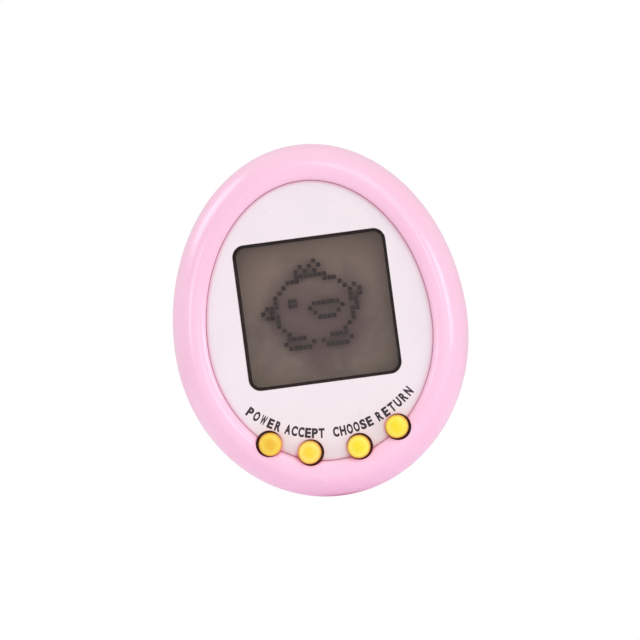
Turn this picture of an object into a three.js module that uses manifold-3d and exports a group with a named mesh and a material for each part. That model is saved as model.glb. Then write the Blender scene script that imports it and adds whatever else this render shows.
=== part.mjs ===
// Virtual pet keychain: a pocket electronic pet in an egg-shaped plastic case.
//
// Two moulded covers close on a circuit board. A liquid crystal display shows through a square window
// in a pale face plate, four small round buttons sit in an arc along the plate's lower edge, and two
// button cells lie behind a screwed door in the back. A steel bar in a notch at the top of the back
// takes the strap or chain.
//
// Units are millimetres. +Z is up, towards the strap bar; +X is the right-hand side seen from the
// front; the screen faces -Y. The origin is on the flat back face, level with the egg's widest line.

import * as THREE from 'three';
import { mergeVertices } from 'three/addons/utils/BufferGeometryUtils.js';
import Module from 'manifold-3d';

const wasm = await Module();
wasm.setup();

// ---------------------------------------------------------------------------------------------
// Driving dimensions
// ---------------------------------------------------------------------------------------------

// The egg: two half ellipses that share the widest line, z = 0.
const HALF_WIDTH = 22;
const TOP_REACH = 28.2;
const BOTTOM_REACH = 24.6;
const RIM_SHARE = 1.06; // the front rim is a little wider at the top and bottom than at the sides
const EGG_SEGMENTS = 44; // a multiple of four, so that the widest line has its own corners

// Depth, front to back. The flat of the back is y = 0.
const CREST_Y = -16.5; // the front rim's highest line
const SEAM_Y = -8.5; // where the covers meet
const WALL = 1.6;
const GAP = 0.1; // between pieces that rest on each other

const CREST_INSET = 3.6; // from the egg's outline in to the crest
const PLATE_INSET = 5.3; // from the outline in to the face plate's seat
const BACK_ROUND = 9.5; // width of the rounded band round the flat back

const PLATE = { front: -15.3, back: -14.3 };
const SEAT_LIP = 0.35; // the rim's inner edge stands this far above the face plate
const FLOOR = { front: -14.2, back: -12.8 }; // the front cover's floor, under the face plate

const WINDOW = { width: 22.8, height: 21.7, corner: 1.8, z: 3.4 };
const LENS = { lap: 1, corner: 0.5, room: 0.1 }; // lap: how far it reaches past the window on each side
const SCREEN_BORDER = 0.45; // the gasket shows inside the window by this much

const BOARD = { front: -9.9, back: -8.9, inset: 3.2 };

// Buttons: an arc of four, mirrored about the middle.
const BUTTON_HOLE_RADIUS = 1.95;
const BUTTON_RADIUS = 1.72;
const BUTTON_TIP_Y = -17.2;
const BUTTON_FLANGE = { radius: 2.5, thickness: 0.7, gap: 0.08 };
const BUTTON_STEM = { radius: 1.2, back: -11.56 };
const BUTTON_GUIDE_RADIUS = 2.9; // the floor is thicker round each button hole
const INNER_BUTTON = { x: 3.63, z: -17.4 };
const OUTER_BUTTON = { x: 9.6, z: -15.3 };
const BUTTONS = [
  { name: 'power', x: -OUTER_BUTTON.x, z: OUTER_BUTTON.z },
  { name: 'accept', x: -INNER_BUTTON.x, z: INNER_BUTTON.z },
  { name: 'choose', x: INNER_BUTTON.x, z: INNER_BUTTON.z },
  { name: 'return', x: OUTER_BUTTON.x, z: OUTER_BUTTON.z },
];

// Two LR44 cells side by side, and the door over them.
const CELL = { radius: 5.8, height: 5.4, x: 6.1, z: -9.2, back: -1.75 };
const CELL_POCKET_RADIUS = 6.05;
const DOOR = { width: 26, height: 14.6, corner: 5, z: -9.1, underside: -2.1, roof: -1.3, gap: 0.15 };
const TRAY = { wall: 0.9, floorFront: -8.35, floorBack: -7.5, top: -2.2 };
const DOOR_SCREW = { x: 0, z: -3.9 };
const DOOR_SCREW_HOLE = { radius: 0.95, counterbore: 1.75, seat: -1.25, pilot: 0.92, pilotFront: -6.4 };
const BRIDGE = { width: 16.4, height: 4.4, corner: 1, front: -1.68, back: -1.4, room: 0.2 };
const CONTACT = { leafFront: -7.45, leafBack: -7.2, width: 4.6, length: 8.6, tabWidth: 1.6, tabZ: -13.6 };

// Fasteners.
const CASE_SCREWS = [
  { name: 'top_left', x: -8, z: 20.5 },
  { name: 'top_right', x: 8, z: 20.5 },
  { name: 'lower_left', x: -16.2, z: -5 },
  { name: 'lower_right', x: 16.2, z: -5 },
];
const BOARD_SCREWS = [
  { name: 'left', x: -15.8, z: 9.5 },
  { name: 'right', x: 15.8, z: 9.5 },
];

// Holes for screws are drawn at clearance size, since threads are left out.
const CASE_BOSS = { radius: 2.9, counterbore: 2.1, seat: -4, clearance: 1.12 };
const CASE_POST = { radius: 2.1, pilot: 1.08, gap: 0.15 };
const BOARD_POST = { radius: 1.5, pilot: 0.78, gap: 0.05 };
const PILOT_FRONT = -13.2;
const CASE_SCREW = { headRadius: 1.9, headBack: -2.7, headFront: -3.95, shankRadius: 1, tip: -12.4 };
const BOARD_SCREW = { headRadius: 1.4, headBack: -7.95, headFront: -8.85, shankRadius: 0.7, tip: -12.4 };
const DOOR_SCREW_SIZE = { headRadius: 1.5, headBack: -0.3, headFront: -1.2, shankRadius: 0.8, tip: -6 };

// The tongue on the back cover, just inside the front cover's wall.
const TONGUE = { gap: 0.15, thickness: 1, reach: 1.1 };

// Strap bar and its notch.
const STRAP = { barRadius: 0.7, barLength: 9, y: -3.4, z: 23 };
const NOTCH = { width: 7.2, low: 20.6, high: 26.2, bottom: -5.4, wall: 1.1 };

// Sounder, glued behind a few small holes in the back.
const SOUNDER = { z: 8.6, discRadius: 7.5, ceramicRadius: 5, back: -1.75 };
const SOUND_HOLE = { radius: 0.5, spacing: 2.2 };
const SOUNDER_RING = { inner: SOUNDER.discRadius + 0.2, outer: SOUNDER.discRadius + 1.1, front: -3.2 };

// ---------------------------------------------------------------------------------------------
// Materials
// ---------------------------------------------------------------------------------------------

function material(color, roughness, metalness = 0, extra = {}) {
  return new THREE.MeshStandardMaterial({ color, roughness, metalness, ...extra });
}

const MATERIALS = {
  pinkShell: material(0xfcc6dd, 0.28),
  facePlate: material(0xf6eaee, 0.35),
  yellowButton: material(0xf7df45, 0.4),
  clearPlastic: material(0xdfe2e0, 0.06, 0, { transparent: true, opacity: 0.3 }),
  lcdGlass: material(0xb9bcae, 0.08, 0, { transparent: true, opacity: 0.4 }),
  reflector: material(0x6b615b, 0.5, 0.3),
  blackFoam: material(0x171416, 0.9),
  whitePlastic: material(0xeceae6, 0.5),
  zebra: material(0xd8a7a2, 0.8),
  board: material(0x2f6a3c, 0.5),
  epoxy: material(0x141414, 0.35),
  silicone: material(0xd9d6cf, 0.7),
  carbon: material(0x1c1c1e, 0.8),
  steel: material(0xb9bcc0, 0.3, 0.9),
  cellSteel: material(0xc8cbce, 0.22, 0.95),
  brass: material(0xc9a24a, 0.35, 0.9),
  ceramic: material(0xe9e6dc, 0.6),
  brownBody: material(0x9a6a3a, 0.6),
  redWire: material(0xb32420, 0.5),
  blackWire: material(0x1a1a1a, 0.5),
};

// ---------------------------------------------------------------------------------------------
// Shape helpers
// ---------------------------------------------------------------------------------------------

const QUARTER = Math.PI / 2;

// A closed geometry as a manifold-3d solid, and back.
function solid(geometry) {
  const bare = geometry.clone();
  bare.deleteAttribute('normal');
  bare.deleteAttribute('uv');
  const merged = mergeVertices(bare, 1e-4);
  return new wasm.Manifold(
    new wasm.Mesh({
      numProp: 3,
      vertProperties: new Float32Array(merged.attributes.position.array),
      triVerts: new Uint32Array(merged.index.array),
    }),
  );
}

function geometryOf(made) {
  const mesh = made.getMesh();
  const geometry = new THREE.BufferGeometry();
  geometry.setAttribute('position', new THREE.BufferAttribute(mesh.vertProperties, 3));
  geometry.setIndex(new THREE.BufferAttribute(mesh.triVerts, 1));
  geometry.computeVertexNormals();
  return geometry;
}

const join = (first, ...others) => others.reduce((made, other) => made.add(other), first);
const cut = (first, ...others) => others.reduce((made, other) => made.subtract(other), first);

// The egg's outline, moved in by inset.
function eggShape(inset) {
  const halfWidth = HALF_WIDTH - inset;
  const top = TOP_REACH - inset * RIM_SHARE;
  const bottom = BOTTOM_REACH - inset * RIM_SHARE;
  return new THREE.Shape()
    .absellipse(0, 0, halfWidth, top, 0, Math.PI, false)
    .absellipse(0, 0, halfWidth, bottom, Math.PI, 2 * Math.PI, false);
}

function roundedRect(width, height, corner, z = 0) {
  const right = width / 2 - corner;
  const top = z + height / 2 - corner;
  const bottom = z - height / 2 + corner;
  return new THREE.Shape()
    .absarc(right, top, corner, 0, QUARTER, false)
    .absarc(-right, top, corner, QUARTER, 2 * QUARTER, false)
    .absarc(-right, bottom, corner, 2 * QUARTER, 3 * QUARTER, false)
    .absarc(right, bottom, corner, 3 * QUARTER, 4 * QUARTER, false);
}

// The window's outline, moved out by grow, its corners rounder by round.
const windowShape = (grow, round) =>
  roundedRect(WINDOW.width + 2 * grow, WINDOW.height + 2 * grow, WINDOW.corner + round, WINDOW.z);

// A flat piece: a shape drawn in X and Z, from y = front to y = back.
function slab(shape, front, back, curveSegments = 3) {
  return new THREE.ExtrudeGeometry(shape, { depth: back - front, bevelEnabled: false, curveSegments })
    .rotateX(Math.PI / 2)
    .translate(0, back, 0);
}

function withHole(shape, hole) {
  shape.holes.push(hole);
  return shape;
}

// A round rod along Y.
function rod(radius, front, back, x = 0, z = 0, segments = 12) {
  return new THREE.CylinderGeometry(radius, radius, back - front, segments)
    .translate(x, (front + back) / 2, z);
}

// The same rod at each of a list of places, as solids.
const rodsAt = (places, radius, front, back, segments) =>
  places.map(({ x, z }) => solid(rod(radius, front, back, x, z, segments)));

function box(width, front, back, height, x, z) {
  return new THREE.BoxGeometry(width, back - front, height).translate(x, (front + back) / 2, z);
}

// A turned piece about an axis along Y. The profile holds (radius, y) and runs from front to back.
function turned(profile, x = 0, z = 0, segments = 16, curvePoints = 2) {
  const points = profile.getPoints ? profile.getPoints(curvePoints) : profile;
  return new THREE.LatheGeometry(points, segments).translate(x, 0, z);
}

const polyline = (...pairs) => pairs.map(([radius, y]) => new THREE.Vector2(radius, y));

// A turned profile stretched from a circle of HALF_WIDTH to the egg. A radius of HALF_WIDTH lands on
// the egg's outline, and a smaller one lands inside it by the same inset that eggShape uses.
function eggTurned(profile, curvePoints) {
  const geometry = new THREE.LatheGeometry(profile.getPoints(curvePoints), EGG_SEGMENTS);
  const position = geometry.attributes.position;
  for (let i = 0; i < position.count; i++) {
    const x = position.getX(i);
    const z = position.getZ(i);
    const radius = Math.hypot(x, z);
    if (radius < 1e-6) continue;
    const reach = z > 0 ? TOP_REACH : BOTTOM_REACH;
    const stretched = reach - RIM_SHARE * (HALF_WIDTH - radius);
    position.setZ(i, (z / radius) * stretched);
  }
  return geometry;
}

// A wire: a round section swept along a curve, with closed ends.
function wire(radius, points, steps = 10) {
  const circle = new THREE.Shape().absarc(0, 0, radius, 0, 2 * Math.PI, false);
  return new THREE.ExtrudeGeometry(circle, {
    steps,
    curveSegments: 3,
    bevelEnabled: false,
    extrudePath: new THREE.CatmullRomCurve3(points.map((p) => new THREE.Vector3(...p))),
  });
}

// A machine screw along Y, head to the back, with a cross recess.
function screw({ headRadius, headBack, headFront, shankRadius, tip }, x, z) {
  const edge = (headBack - headFront) * 0.4;
  const profile = new THREE.Path()
    .moveTo(0, tip)
    .lineTo(shankRadius * 0.6, tip)
    .lineTo(shankRadius, tip + shankRadius)
    .lineTo(shankRadius, headFront)
    .lineTo(headRadius, headFront)
    .lineTo(headRadius, headBack - edge)
    .lineTo(headRadius - edge, headBack)
    .lineTo(0, headBack);
  const slotWidth = headRadius * 0.28;
  const slotLength = headRadius * 1.2;
  const slotFront = headBack - (headBack - headFront) * 0.6;
  return cut(
    solid(turned(profile, x, z, 12)),
    solid(box(slotLength, slotFront, headBack + 1, slotWidth, x, z)),
    solid(box(slotWidth, slotFront, headBack + 1, slotLength, x, z)),
  );
}

// ---------------------------------------------------------------------------------------------
// The assembly
// ---------------------------------------------------------------------------------------------

const pet = new THREE.Group();
pet.name = 'virtual_pet_keychain';

function add(name, shape, look) {
  const geometry = shape.isBufferGeometry ? shape : geometryOf(shape);
  const mesh = new THREE.Mesh(geometry, look);
  mesh.name = name;
  pet.add(mesh);
}

// --- Case ---

// A rounded front rim, a seat for the face plate, and a floor with openings under the plate.
function frontCover() {
  const seatRadius = HALF_WIDTH - PLATE_INSET;
  const crestRadius = HALF_WIDTH - CREST_INSET;
  const seatEdgeY = PLATE.front - SEAT_LIP;
  const coreInner = seatRadius + 1.4;
  const coreOuter = crestRadius + 0.3;
  const coreTop = FLOOR.front + GAP;
  const innerWall = HALF_WIDTH - WALL;
  const profile = new THREE.Path()
    .moveTo(0, FLOOR.front)
    .lineTo(seatRadius, FLOOR.front)
    .lineTo(seatRadius, seatEdgeY)
    .absellipse(crestRadius, seatEdgeY, CREST_INSET - PLATE_INSET, seatEdgeY - CREST_Y, 0, -QUARTER, true)
    .absellipse(crestRadius, SEAM_Y, CREST_INSET, SEAM_Y - CREST_Y, -QUARTER, 0, false)
    .lineTo(innerWall, SEAM_Y)
    .absellipse(coreOuter, SEAM_Y, innerWall - coreOuter, SEAM_Y - coreTop, 0, -QUARTER, true)
    .lineTo(coreInner, coreTop)
    .lineTo(coreInner, FLOOR.back)
    .lineTo(0, FLOOR.back);
  const shell = solid(eggTurned(profile, 3));
  const posts = rodsAt(CASE_SCREWS, CASE_POST.radius, coreTop, SEAM_Y - CASE_POST.gap);
  const boardPosts = rodsAt(BOARD_SCREWS, BOARD_POST.radius, coreTop, BOARD.front - BOARD_POST.gap);
  const guides = rodsAt(BUTTONS, BUTTON_GUIDE_RADIUS, coreTop, FLOOR.back);
  const pilots = rodsAt(CASE_SCREWS, CASE_POST.pilot, PILOT_FRONT, 0);
  const boardPilots = rodsAt(BOARD_SCREWS, BOARD_POST.pilot, PILOT_FRONT, 0);
  const opening = solid(slab(windowShape(LENS.lap + GAP, LENS.corner + GAP), CREST_Y, SEAM_Y));
  return cut(
    join(shell, ...posts, ...boardPosts, ...guides),
    ...pilots,
    ...boardPilots,
    ...buttonHoles(),
    opening,
  );
}

const buttonHoles = () => rodsAt(BUTTONS, BUTTON_HOLE_RADIUS, CREST_Y - 1, SEAM_Y, 20);

// The pale plate in the rim's seat, notched where the buttons cross its edge.
function facePlate() {
  const outline = solid(slab(eggShape(PLATE_INSET + GAP), PLATE.front, PLATE.back, EGG_SEGMENTS / 4));
  const aperture = solid(slab(windowShape(0, 0), CREST_Y, SEAM_Y, 4));
  return cut(outline, aperture, ...buttonHoles());
}

// The outside of the back: a rounded band from the seam to the flat.
function backBody() {
  const flatRadius = HALF_WIDTH - BACK_ROUND;
  const profile = new THREE.Path()
    .moveTo(0, SEAM_Y)
    .lineTo(HALF_WIDTH, SEAM_Y)
    .absellipse(flatRadius, SEAM_Y, BACK_ROUND, -SEAM_Y, 0, QUARTER, false)
    .lineTo(0, 0);
  return solid(eggTurned(profile, 3));
}

// The back as a shell, with a tongue round its edge that locates the front cover.
function backShell() {
  const flatRadius = HALF_WIDTH - BACK_ROUND;
  const hollowFlat = flatRadius - 0.4;
  const hollowRim = HALF_WIDTH - WALL - TONGUE.thickness;
  const tongueRadius = HALF_WIDTH - WALL - TONGUE.gap;
  const tongueFront = SEAM_Y - TONGUE.reach;
  const profile = new THREE.Path()
    .moveTo(0, -WALL)
    .lineTo(hollowFlat, -WALL)
    .absellipse(hollowFlat, SEAM_Y, hollowRim - hollowFlat, -SEAM_Y - WALL, QUARTER, 0, true)
    .lineTo(hollowRim, tongueFront)
    .lineTo(tongueRadius, tongueFront)
    .lineTo(tongueRadius, SEAM_Y)
    .lineTo(HALF_WIDTH, SEAM_Y)
    .absellipse(flatRadius, SEAM_Y, BACK_ROUND, -SEAM_Y, 0, QUARTER, false)
    .lineTo(0, 0);
  return solid(eggTurned(profile, 3));
}

const doorOutline = (grow) => {
  const { width, height, corner, z } = DOOR;
  return roundedRect(width + 2 * grow, height + 2 * grow, corner + grow, z);
};

const cellPockets = (front, back) =>
  [-CELL.x, CELL.x].map((x) => solid(rod(CELL_POCKET_RADIUS, front, back, x, CELL.z, 24)));

// A shell with a battery tray, screw bosses, a sounder ring, board ribs and the strap notch.
function rearCover() {
  const tray = solid(slab(doorOutline(TRAY.wall), TRAY.floorFront, 1));
  const bosses = rodsAt(CASE_SCREWS, CASE_BOSS.radius, SEAM_Y, 1);
  const notchHeight = NOTCH.high - NOTCH.low;
  const notchZ = (NOTCH.high + NOTCH.low) / 2;
  const wallsWidth = NOTCH.width + 2 * NOTCH.wall;
  const wallsHeight = notchHeight + 2 * NOTCH.wall;
  const notchWalls = solid(box(wallsWidth, NOTCH.bottom - NOTCH.wall, 1, wallsHeight, 0, notchZ));
  const ribs = [-7, 7].map((x) => solid(box(1, BOARD.back + 0.05, -4, 1, x, -19.2)));
  const ringShape = withHole(
    new THREE.Shape().absarc(0, SOUNDER.z, SOUNDER_RING.outer, 0, 4 * QUARTER, false),
    new THREE.Path().absarc(0, SOUNDER.z, SOUNDER_RING.inner, 0, 4 * QUARTER, false),
  );
  const ring = solid(slab(ringShape, SOUNDER_RING.front, 0.2 - WALL, 10));
  const inside = join(tray, ...bosses, notchWalls, ring).intersect(backBody());
  const shell = join(backShell(), inside, ...ribs);

  const doorway = solid(slab(doorOutline(DOOR.gap), TRAY.top, 1));
  const counterbores = rodsAt(CASE_SCREWS, CASE_BOSS.counterbore, CASE_BOSS.seat, 1);
  const clearances = rodsAt(CASE_SCREWS, CASE_BOSS.clearance, SEAM_Y - 1, 1);
  const doorScrewHole = rodsAt([DOOR_SCREW], DOOR_SCREW_HOLE.pilot, DOOR_SCREW_HOLE.pilotFront, 1);
  const notch = solid(box(NOTCH.width, NOTCH.bottom, 1, notchHeight, 0, notchZ));
  const barHole = solid(strapBar(STRAP.barRadius + GAP, STRAP.barLength + 2 * GAP));
  const slotWidth = CONTACT.tabWidth + 0.5;
  const contactSlots = CONTACTS.map(({ x }) => solid(box(slotWidth, SEAM_Y, -7, 0.8, x, CONTACT.tabZ)));
  return cut(
    shell,
    doorway,
    ...cellPockets(TRAY.floorBack, 1),
    ...counterbores,
    ...clearances,
    ...doorScrewHole,
    notch,
    barHole,
    ...contactSlots,
    ...soundHoles(),
  );
}

// One hole in the middle of the sounder and one on each side of it.
function soundHoles() {
  const { radius, spacing } = SOUND_HOLE;
  const steps = [[0, 0], [1, 0], [-1, 0], [0, 1], [0, -1]];
  const places = steps.map(([across, up]) => ({ x: spacing * across, z: SOUNDER.z + spacing * up }));
  return rodsAt(places, radius, -3, 1, 8);
}

// The door follows the curve of the back, and its screw stays in it when it lifts off.
function batteryDoor() {
  const plug = solid(slab(doorOutline(0), DOOR.underside, 1));
  const throughHole = rodsAt([DOOR_SCREW], DOOR_SCREW_HOLE.radius, -3, 1);
  const counterbore = rodsAt([DOOR_SCREW], DOOR_SCREW_HOLE.counterbore, DOOR_SCREW_HOLE.seat, 1);
  const bridgeRecess = solid(slab(bridgeOutline(BRIDGE.room), SEAM_Y, DOOR.roof, 4));
  return cut(
    plug.intersect(backBody()),
    ...cellPockets(SEAM_Y, DOOR.roof),
    bridgeRecess,
    ...throughHole,
    ...counterbore,
  );
}

function strapBar(radius, length) {
  return new THREE.CylinderGeometry(radius, radius, length, 16)
    .rotateZ(Math.PI / 2)
    .translate(0, STRAP.y, STRAP.z);
}

// --- Display ---

const LCD = {
  width: 24.6, gasket: { front: -12.75, back: -12.1 }, frontGlass: { front: -12.05, back: -11.35 },
  rearGlass: { front: -11.3, back: -10.6 }, reflector: { front: -10.55, back: -10.3 },
};
const GLASS_TOP = 15.7;
const FRONT_GLASS_HEIGHT = 26.9; // reaches below the rear glass, as the ledge for the contacts
const REAR_GLASS_HEIGHT = 24;
const FRONT_GLASS_Z = GLASS_TOP - FRONT_GLASS_HEIGHT / 2;
const REAR_GLASS_Z = GLASS_TOP - REAR_GLASS_HEIGHT / 2;

function screenLens() {
  return slab(windowShape(LENS.lap, LENS.corner), FLOOR.front, FLOOR.back - LENS.room);
}

function screenGasket() {
  const sheet = withHole(windowShape(2.1, 0.7), windowShape(-SCREEN_BORDER, -SCREEN_BORDER));
  return slab(sheet, LCD.gasket.front, LCD.gasket.back);
}

function lcdFrame() {
  const frame = withHole(roundedRect(LCD.width + 2.6, FRONT_GLASS_HEIGHT + 2.4, 2, FRONT_GLASS_Z),
    roundedRect(LCD.width + 0.4, FRONT_GLASS_HEIGHT + 0.4, 0.5, FRONT_GLASS_Z));
  return slab(frame, LCD.frontGlass.front, BOARD.front - GAP, 4);
}

// --- Board and what stands on it ---

function circuitBoard() {
  const sheet = solid(slab(eggShape(BOARD.inset), BOARD.front, BOARD.back, EGG_SEGMENTS / 4));
  const postHoles = rodsAt(CASE_SCREWS, CASE_POST.radius + 0.3, BOARD.front - 1, BOARD.back + 1);
  const screwHoles = rodsAt(BOARD_SCREWS, BOARD_SCREW.shankRadius + 0.15, BOARD.front - 1, BOARD.back + 1);
  return cut(sheet, ...postHoles, ...screwHoles);
}

const PARTS_Y = BOARD.back + 0.05; // the front of everything soldered to the board's rear face

function chipBlob() {
  const height = 1.35;
  const profile = new THREE.Path()
    .moveTo(0, PARTS_Y)
    .lineTo(4.2, PARTS_Y)
    .absellipse(0, PARTS_Y, 4.2, height, 0, QUARTER, false);
  return turned(profile, 0, 6.5, 20, 3);
}

function crystalCan() {
  return new THREE.CapsuleGeometry(1, 4, 2, 10).rotateX(Math.PI / 2).translate(8.6, PARTS_Y + 1, 7);
}

function capacitorCan() {
  const radius = 1.5;
  return new THREE.CylinderGeometry(radius, radius, 4.6, 16)
    .rotateZ(QUARTER)
    .translate(-8.8, PARTS_Y + radius, 12.4);
}

const chipPart = (x, z) => box(2, PARTS_Y, PARTS_Y + 0.7, 1.25, x, z);

// --- Sounder ---

const sounderDisc = () => rod(SOUNDER.discRadius, SOUNDER.back - 0.25, SOUNDER.back, 0, SOUNDER.z, 28);

const sounderCeramic = () =>
  rod(SOUNDER.ceramicRadius, SOUNDER.back - 0.5, SOUNDER.back - 0.3, 0, SOUNDER.z, 24);

// A lead from the sounder's face down to the board.
function sounderLead(fromX, fromY, toX) {
  return wire(0.32, [
    [fromX, fromY, SOUNDER.z - 3],
    [fromX * 1.15, -4.2, SOUNDER.z - 4],
    [toX, -6.4, SOUNDER.z - 6],
    [toX, BOARD.back + 0.1, SOUNDER.z - 6.4],
  ]);
}

// --- Power ---

// A button cell: a can with a smaller cap at one end.
function cell(x, capToBack) {
  const { radius, height, back } = CELL;
  const front = back - height;
  const cap = 1.2;
  const edge = 0.35;
  const capRadius = radius - 0.7;
  const shoulder = back - cap;
  const can = [[0, front], [radius - edge, front], [radius, front + edge], [radius, shoulder]];
  const top = [[radius - edge, shoulder + edge], [capRadius, shoulder + edge], [capRadius, back - edge],
    [capRadius - edge, back], [0, back]];
  const profile = [...can, ...top];
  const flipped = profile.map(([r, y]) => [r, front + back - y]).reverse();
  return turned(polyline(...(capToBack ? profile : flipped)), x, CELL.z, 24);
}

const CONTACTS = [
  { name: 'battery_contact_plus', x: CELL.x },
  { name: 'battery_contact_minus', x: -CELL.x },
];

// A leaf under a cell, with a tab through the tray's floor to the board.
function floorContact({ x }) {
  const { leafFront, leafBack, width, length, tabWidth, tabZ } = CONTACT;
  const leaf = solid(box(width, leafFront, leafBack, length, x, CELL.z));
  const neck = solid(box(tabWidth, leafFront, leafBack, tabWidth, x, tabZ + 0.65));
  const tab = solid(box(tabWidth, BOARD.back + 0.08, leafBack - GAP, 0.3, x, tabZ));
  return join(leaf, neck, tab);
}

const bridgeOutline = (grow) =>
  roundedRect(BRIDGE.width + 2 * grow, BRIDGE.height + 2 * grow, BRIDGE.corner + grow, CELL.z);

const bridgeContact = () => slab(bridgeOutline(0), BRIDGE.front, BRIDGE.back, 4);

// --- Buttons ---

// A domed cap with a flange under the cover's floor.
function buttonCap({ x, z }) {
  const crown = 0.62;
  const flatRadius = BUTTON_RADIUS - 0.55;
  const shoulderRadius = BUTTON_RADIUS - 0.22;
  const flangeFront = FLOOR.back + BUTTON_FLANGE.gap;
  const flangeBack = flangeFront + BUTTON_FLANGE.thickness;
  const profile = new THREE.Path()
    .moveTo(0, BUTTON_TIP_Y)
    .quadraticCurveTo(flatRadius, BUTTON_TIP_Y, shoulderRadius, BUTTON_TIP_Y + crown * 0.5)
    .quadraticCurveTo(BUTTON_RADIUS, BUTTON_TIP_Y + crown * 0.7, BUTTON_RADIUS, BUTTON_TIP_Y + crown * 1.5)
    .lineTo(BUTTON_RADIUS, flangeFront)
    .lineTo(BUTTON_FLANGE.radius, flangeFront)
    .lineTo(BUTTON_FLANGE.radius, flangeBack)
    .lineTo(BUTTON_STEM.radius, flangeBack)
    .lineTo(BUTTON_STEM.radius, BUTTON_STEM.back)
    .lineTo(0, BUTTON_STEM.back);
  return turned(profile, x, z, 20);
}

// A hollow silicone dome on the board that springs the cap back.
function buttonDome({ x, z }) {
  const foot = BOARD.front - 0.05;
  const outside = [[0, -11.5], [1.3, -11.5], [1.42, -11.05], [2.3, -10.35], [2.3, foot]];
  const inside = [[1.85, foot], [1.2, -10.8], [1.05, -11.1], [0, -11.1]];
  return turned(polyline(...outside, ...inside), x, z);
}

const contactPill = ({ x, z }) => rod(0.85, -11.02, -10.75, x, z);

// ---------------------------------------------------------------------------------------------

add('front_cover', frontCover(), MATERIALS.pinkShell);
add('rear_cover', rearCover(), MATERIALS.pinkShell);
add('battery_door', batteryDoor(), MATERIALS.pinkShell);
add('face_plate', facePlate(), MATERIALS.facePlate);
add('strap_bar', strapBar(STRAP.barRadius, STRAP.barLength), MATERIALS.steel);

add('screen_lens', screenLens(), MATERIALS.clearPlastic);
add('screen_gasket', screenGasket(), MATERIALS.blackFoam);
add('lcd_front_glass', slab(roundedRect(LCD.width, FRONT_GLASS_HEIGHT, 0.2, FRONT_GLASS_Z),
  LCD.frontGlass.front, LCD.frontGlass.back, 1), MATERIALS.lcdGlass);
add('lcd_rear_glass', slab(roundedRect(LCD.width, REAR_GLASS_HEIGHT, 0.2, REAR_GLASS_Z),
  LCD.rearGlass.front, LCD.rearGlass.back, 1), MATERIALS.lcdGlass);
add('lcd_reflector', slab(roundedRect(LCD.width - 0.4, REAR_GLASS_HEIGHT - 0.4, 0.2, REAR_GLASS_Z),
  LCD.reflector.front, LCD.reflector.back, 1), MATERIALS.reflector);
add('lcd_frame', lcdFrame(), MATERIALS.whitePlastic);
add('zebra_strip', box(22, LCD.frontGlass.back + 0.05, BOARD.front - 0.05, 2, 0, -9.8), MATERIALS.zebra);

add('circuit_board', circuitBoard(), MATERIALS.board);
add('chip_blob', chipBlob(), MATERIALS.epoxy);
add('crystal_can', crystalCan(), MATERIALS.steel);
add('capacitor_can', capacitorCan(), MATERIALS.epoxy);
add('chip_capacitor', chipPart(-7.2, 4.2), MATERIALS.brownBody);
add('chip_resistor', chipPart(-7.2, 7.6), MATERIALS.epoxy);

add('sounder_disc', sounderDisc(), MATERIALS.brass);
add('sounder_ceramic', sounderCeramic(), MATERIALS.ceramic);
add('sounder_lead_red', sounderLead(2.2, SOUNDER.back - 0.85, 5.4), MATERIALS.redWire);
add('sounder_lead_black', sounderLead(-2.2, SOUNDER.back - 0.85, -4.9), MATERIALS.blackWire);

add('battery_left', cell(-CELL.x, false), MATERIALS.cellSteel);
add('battery_right', cell(CELL.x, true), MATERIALS.cellSteel);
CONTACTS.forEach((contact) => add(contact.name, floorContact(contact), MATERIALS.steel));
add('battery_bridge', bridgeContact(), MATERIALS.steel);

BUTTONS.forEach((button) => {
  add(`${button.name}_button`, buttonCap(button), MATERIALS.yellowButton);
  add(`${button.name}_dome`, buttonDome(button), MATERIALS.silicone);
  add(`${button.name}_contact_pill`, contactPill(button), MATERIALS.carbon);
});

CASE_SCREWS.forEach(({ name, x, z }) => {
  add(`case_screw_${name}`, screw(CASE_SCREW, x, z), MATERIALS.steel);
});
BOARD_SCREWS.forEach(({ name, x, z }) => {
  add(`board_screw_${name}`, screw(BOARD_SCREW, x, z), MATERIALS.steel);
});
add('battery_door_screw', screw(DOOR_SCREW_SIZE, DOOR_SCREW.x, DOOR_SCREW.z), MATERIALS.steel);

export default pet;
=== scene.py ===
"""The looks of a virtual pet keychain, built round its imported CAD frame.

The egg-shaped shells, the face plate, the buttons, the screen and the fasteners are finer meshes that
stand for the CAD solids. The rest of the CAD stays, with materials of its own. Shapes are worked out in
millimetres from the sizes of the CAD nodes, and are scaled to metres when they become objects.
"""

import math

import bmesh
import bpy
from mathutils import Matrix, Vector


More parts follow.
